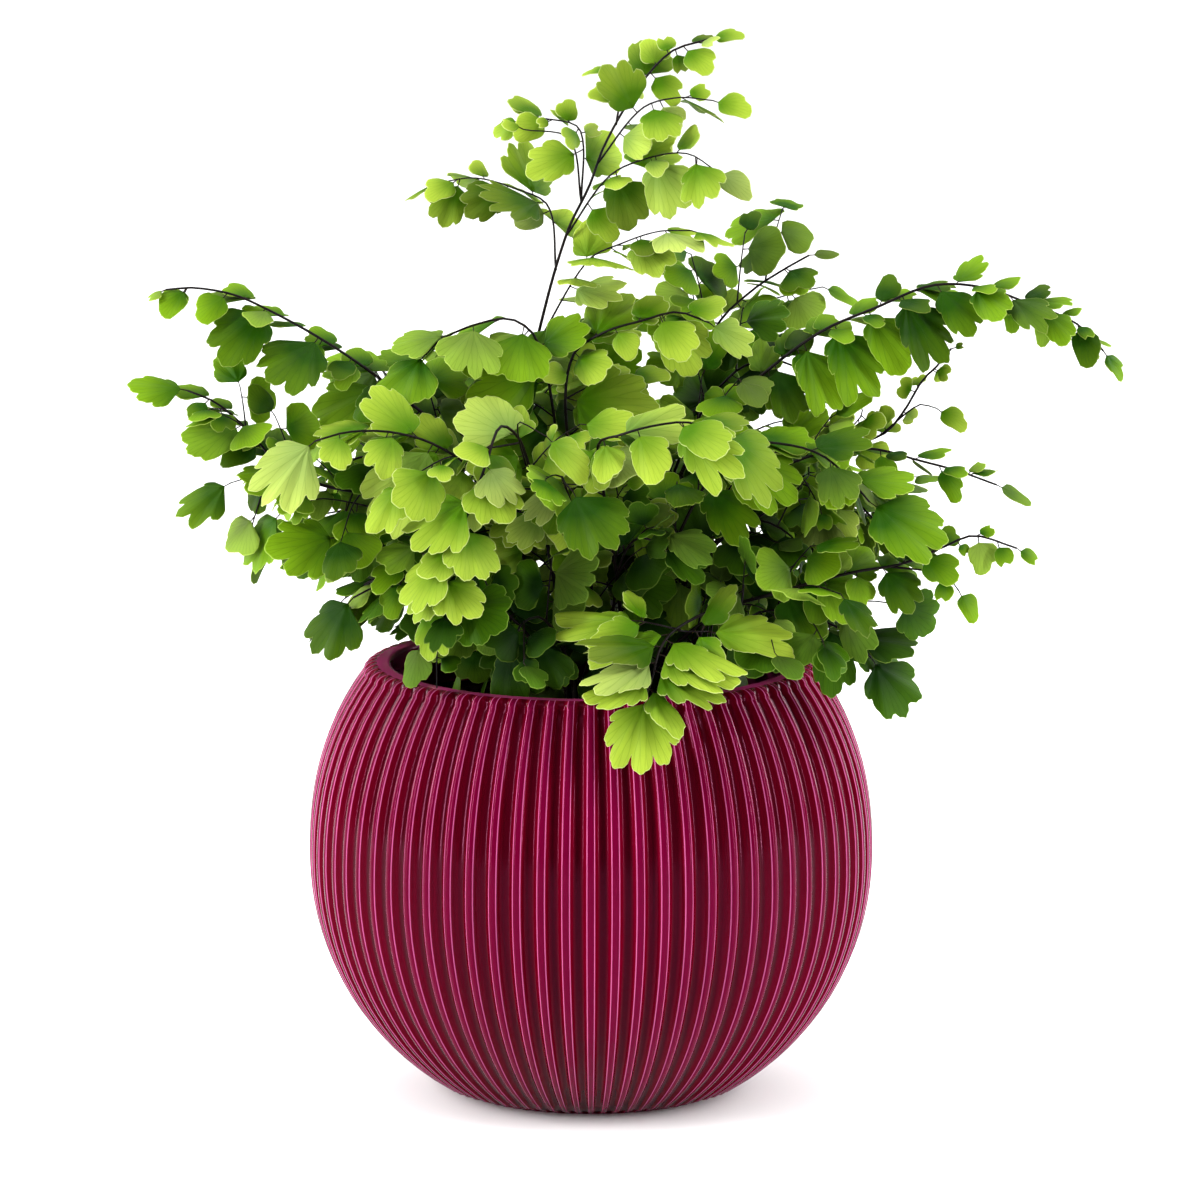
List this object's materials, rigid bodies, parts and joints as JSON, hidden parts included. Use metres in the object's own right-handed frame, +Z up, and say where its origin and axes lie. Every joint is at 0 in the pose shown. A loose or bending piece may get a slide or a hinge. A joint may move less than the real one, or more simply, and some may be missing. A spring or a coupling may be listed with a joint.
{
  "type": "potted maidenhair fern",
  "caption": "Maidenhair fern with fan-shaped leaflets on wiry dark stems, in a round ribbed glazed pot.",
  "frame": {"origin": "middle of the pot's flat underside", "axes": "+Z up, -Y towards the plant's front, +X to its right as seen from the front"},
  "size_m": [0.2771, 0.1796, 0.3014],
  "materials": {
    "pot": "gloss",
    "soil": "matt",
    "leaf_light": "satin",
    "leaf_mid": "satin",
    "leaf_dark": "satin",
    "stem": "satin"
  },
  "bodies": {
    "root": {"pot": "pot", "soil": "soil", "frond_front_drooping": "leaf_light", "frond_front_left": "leaf_light", "frond_front_right": "leaf_light", "frond_right_big": "leaf_mid", "frond_left_bright": "leaf_light", "frond_middle": "leaf_mid", "frond_low_right": "leaf_mid", "frond_low_right_hanging": "leaf_dark", "frond_low_left": "leaf_dark", "frond_low_inner_left": "leaf_dark", "frond_low_inner": "leaf_dark", "frond_low_inner_right": "leaf_dark", "frond_centre_left": "leaf_mid", "frond_upper_left": "leaf_mid", "frond_left": "leaf_mid", "frond_centre_right": "leaf_light", "frond_tall": "leaf_light", "frond_right_arching": "leaf_mid", "frond_right_slim": "leaf_mid", "frond_right_young": "leaf_light", "frond_right_inner": "leaf_dark", "frond_centre_inner": "leaf_dark", "frond_left_inner": "leaf_dark", "frond_left_back": "leaf_dark", "frond_right_back": "leaf_dark", "frond_back_right_tall": "leaf_mid", "frond_side_right": "leaf_mid", "frond_side_left": "leaf_mid", "frond_side_low_right": "leaf_dark", "frond_side_low_left": "leaf_dark", "frond_back_left_high": "leaf_mid", "frond_back_high": "leaf_mid", "frond_back_right_high": "leaf_mid", "frond_back_right_side": "leaf_mid", "frond_back_left_side": "leaf_mid", "frond_back_low_left": "leaf_dark", "frond_back_low": "leaf_dark", "frond_back_low_right": "leaf_dark"}
  },
  "joints": []
}
